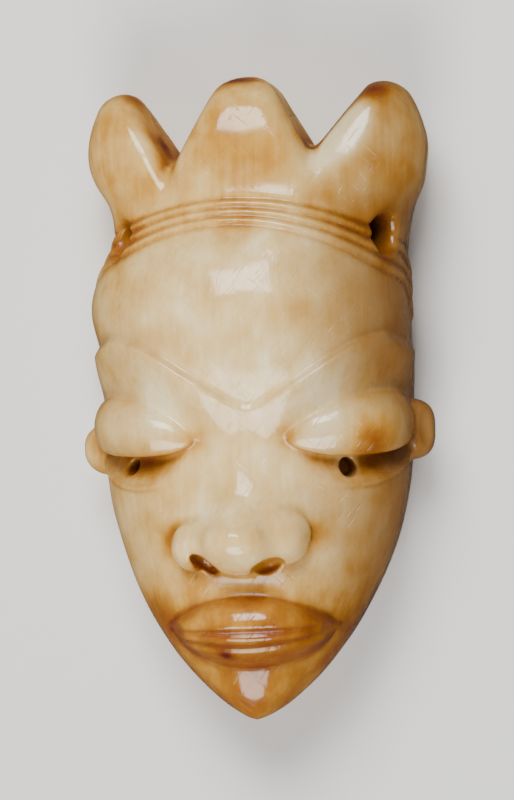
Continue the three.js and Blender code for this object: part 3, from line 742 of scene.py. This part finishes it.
def add_node(tree, kind, inputs=None, **settings):
    node = tree.nodes.new(kind)
    for name, value in settings.items():
        setattr(node, name, value)
    for socket, source in (inputs or {}).items():
        if isinstance(source, bpy.types.NodeSocket):
            tree.links.new(source, node.inputs[socket])
        else:
            node.inputs[socket].default_value = source
    return node


ivory = bpy.data.materials.new("polished ivory")
ivory.use_nodes = True
tree = ivory.node_tree
shader = tree.nodes["Principled BSDF"]
place = add_node(tree, "ShaderNodeTexCoord").outputs["Object"]


def attribute(name):
    return add_node(tree, "ShaderNodeAttribute", attribute_name=name).outputs["Fac"]


# A noise whose features are so many millimetres long along each axis
def grain(x, y, z, detail=3, turn=0):
    scale = (1 / (x * MM), 1 / (y * MM), 1 / (z * MM))
    turned = add_node(tree, "ShaderNodeMapping", {"Vector": place, "Rotation": (0, 0, math.radians(turn))})
    sized = add_node(tree, "ShaderNodeVectorMath", {0: turned.outputs[0], 1: scale}, operation="MULTIPLY")
    noise_node = add_node(tree, "ShaderNodeTexNoise", {"Vector": sized.outputs[0], "Scale": 1.0, "Detail": detail})
    return noise_node.outputs["Fac"]


def weighed(*terms):
    total = 0.0
    for value, weight, offset in terms:
        node = add_node(tree, "ShaderNodeMath", {0: value, 1: weight, 2: offset}, operation="MULTIPLY_ADD")
        sum_node = add_node(tree, "ShaderNodeMath", {0: node.outputs[0], 1: total}, operation="ADD")
        total = sum_node.outputs[0]
    return total


def band_of(value, low, high, below=0.0, above=1.0):
    inputs = {"Value": value, "From Min": low, "From Max": high, "To Min": below, "To Max": above}
    return add_node(tree, "ShaderNodeMapRange", inputs, clamp=True).outputs[0]


# The stain deepens with each of these; the growth of the tusk shows as streaks along the mask, the oil as clouds
HOLLOW_STAIN = 0.42
SPOT_STAIN = 0.85
STREAK_STAIN = 0.13
CLOUD_STAIN = 0.54
streaks = grain(x=0.5, y=9, z=0.5)
clouds = grain(x=3.4, y=4.6, z=3.4, detail=4)
depth = weighed(
    (attribute("honey_and_lit_scoops"), 1.0, 0.0),
    (attribute("hollow"), HOLLOW_STAIN, 0.0),
    (attribute("stain_and_hole_shade"), SPOT_STAIN, 0.0),
    (streaks, STREAK_STAIN, -STREAK_STAIN / 2),
    (clouds, CLOUD_STAIN, -CLOUD_STAIN / 2),
)
stain = add_node(tree, "ShaderNodeValToRGB", {"Fac": depth})
stain.color_ramp.elements[0].position = 0.0
stain.color_ramp.elements[0].color = linear("FFEBB8")
stain.color_ramp.elements[1].position = 0.95
stain.color_ramp.elements[1].color = linear("54190A")
for position, colour in (
    (0.12, "F2D08E"),
    (0.25, "E2B76A"),
    (0.38, "CC933A"),
    (0.5, "A96D1D"),
    (0.62, "945216"),
    (0.78, "7A380E"),
):
    stain.color_ramp.elements.new(position).color = linear(colour)

# The darkened sides are the same ivory multiplied by this brown, partly a darker patina and partly painted shade
SIDE_DARKENING_BROWN = (0.31, 0.21, 0.13, 1)
side_darkening = {0: attribute("patina_and_shade"), 6: stain.outputs["Color"], 7: SIDE_DARKENING_BROWN}
side_darkened = add_node(tree, "ShaderNodeMix", side_darkening, data_type="RGBA", blend_type="MULTIPLY")
tree.links.new(side_darkened.outputs[2], shader.inputs["Base Color"])

# From the dull of the hollows and the underside to the gloss of the front
DULL = 0.34
GLOSSY = 0.13
gloss = band_of(attribute("polished"), low=0, high=1, below=DULL, above=GLOSSY)
tree.links.new(gloss, shader.inputs["Roughness"])
shader.inputs["IOR"].default_value = 1.54
shader.inputs["Specular IOR Level"].default_value = 0.4
shader.inputs["Subsurface Weight"].default_value = 0.15
shader.inputs["Subsurface Radius"].default_value = (1.0, 0.5, 0.2)
shader.inputs["Subsurface Scale"].default_value = 0.8 * MM

# Fine scratches cross in two directions, over the faint ripple that scraping left along the streaks
scratches = weighed(
    (band_of(grain(x=0.16, y=5, z=1.5, detail=1, turn=38), low=0.66, high=0.72), -1.0, 0.0),
    (band_of(grain(x=0.16, y=4, z=1.5, detail=1, turn=-50), low=0.68, high=0.74), -1.0, 0.0),
    (grain(x=0.35, y=7, z=0.35, detail=2), 0.5, 0.0),
)
bumps = add_node(tree, "ShaderNodeBump", {"Height": scratches, "Distance": 0.04 * MM, "Strength": 0.7})
tree.links.new(bumps.outputs[0], shader.inputs["Normal"])
mask.data.materials.clear()
mask.data.materials.append(ivory)

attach(mask, "root")
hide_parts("mask")

# The floor: a matt pale sheet of paper that the mask lies on, kept out of its polish, which stays clear and deep
FLOOR_HALF = 0.6
bpy.ops.object.select_all(action="DESELECT")
bpy.ops.mesh.primitive_plane_add(size=2 * FLOOR_HALF)
floor = bpy.context.active_object
floor.name = floor.data.name = "floor"
paper = bpy.data.materials.new("matt paper")
paper.use_nodes = True
paper_shader = paper.node_tree.nodes["Principled BSDF"]
paper_shader.inputs["Base Color"].default_value = linear("EFEDEA")
paper_shader.inputs["Roughness"].default_value = 0.9
paper_shader.inputs["Specular IOR Level"].default_value = 0.1
floor.data.materials.append(paper)
floor.visible_glossy = False

# Light: a square softbox above the crown, one below the chin that only lights and a wider screen there that is seen
# only in the polish, a broad bank on the left, and a pale room
AIM = Vector((0, 0, 12)) * MM


def softbox(name, lean, turn, distance, size, strength):
    lamp = bpy.data.lights.new(name, "AREA")
    lamp.shape = "SQUARE"
    lamp.size = size
    lamp.energy = strength
    holder = bpy.data.objects.new(name, lamp)
    bpy.context.scene.collection.objects.link(holder)
    towards = Vector((0, 0, 1))
    towards.rotate(Matrix.Rotation(math.radians(-lean), 3, "X"))
    towards.rotate(Matrix.Rotation(math.radians(turn), 3, "Y"))
    holder.location = AIM + towards * distance
    holder.rotation_euler = towards.to_track_quat("Z", "Y").to_euler()
    return holder


softbox("softbox above the crown", lean=33, turn=-5, distance=0.7, size=0.31, strength=5.9)
below = softbox("softbox below the chin", lean=-44, turn=-6, distance=0.7, size=0.39, strength=4.9)
below.visible_glossy = False
screen = softbox("wide screen below the chin", lean=-47, turn=-6, distance=0.7, size=0.52, strength=9.4)
screen.visible_diffuse = False
softbox("bank on the left", lean=14, turn=-62, distance=0.9, size=0.8, strength=0.6)
room = bpy.data.worlds.new("room")
bpy.context.scene.world = room
room.use_nodes = True
room.node_tree.nodes["Background"].inputs["Color"].default_value = linear("F3F2F2")
room.node_tree.nodes["Background"].inputs["Strength"].default_value = 0.1

# Camera: nearly straight above, a little to the right of the face, turned so that the crown leans left
CAMERA_DISTANCE = 450
CAMERA_YAW = 6.5
CAMERA_ROLL = 1.2
CAMERA_AIM = (-0.05, -0.19, 8.5)
FIELD_HEIGHT = 77.5
camera = bpy.data.objects.new("camera", bpy.data.cameras.new("camera"))
bpy.context.scene.collection.objects.link(camera)
bpy.context.scene.camera = camera
camera.data.lens = camera.data.sensor_width * CAMERA_DISTANCE / FIELD_HEIGHT
turned = Matrix.Rotation(math.radians(CAMERA_YAW), 4, "Y") @ Matrix.Rotation(math.radians(-CAMERA_ROLL), 4, "Z")
back_off = Matrix.Translation((0, 0, CAMERA_DISTANCE * MM))
camera.matrix_world = Matrix.Translation(Vector(CAMERA_AIM) * MM) @ turned @ back_off
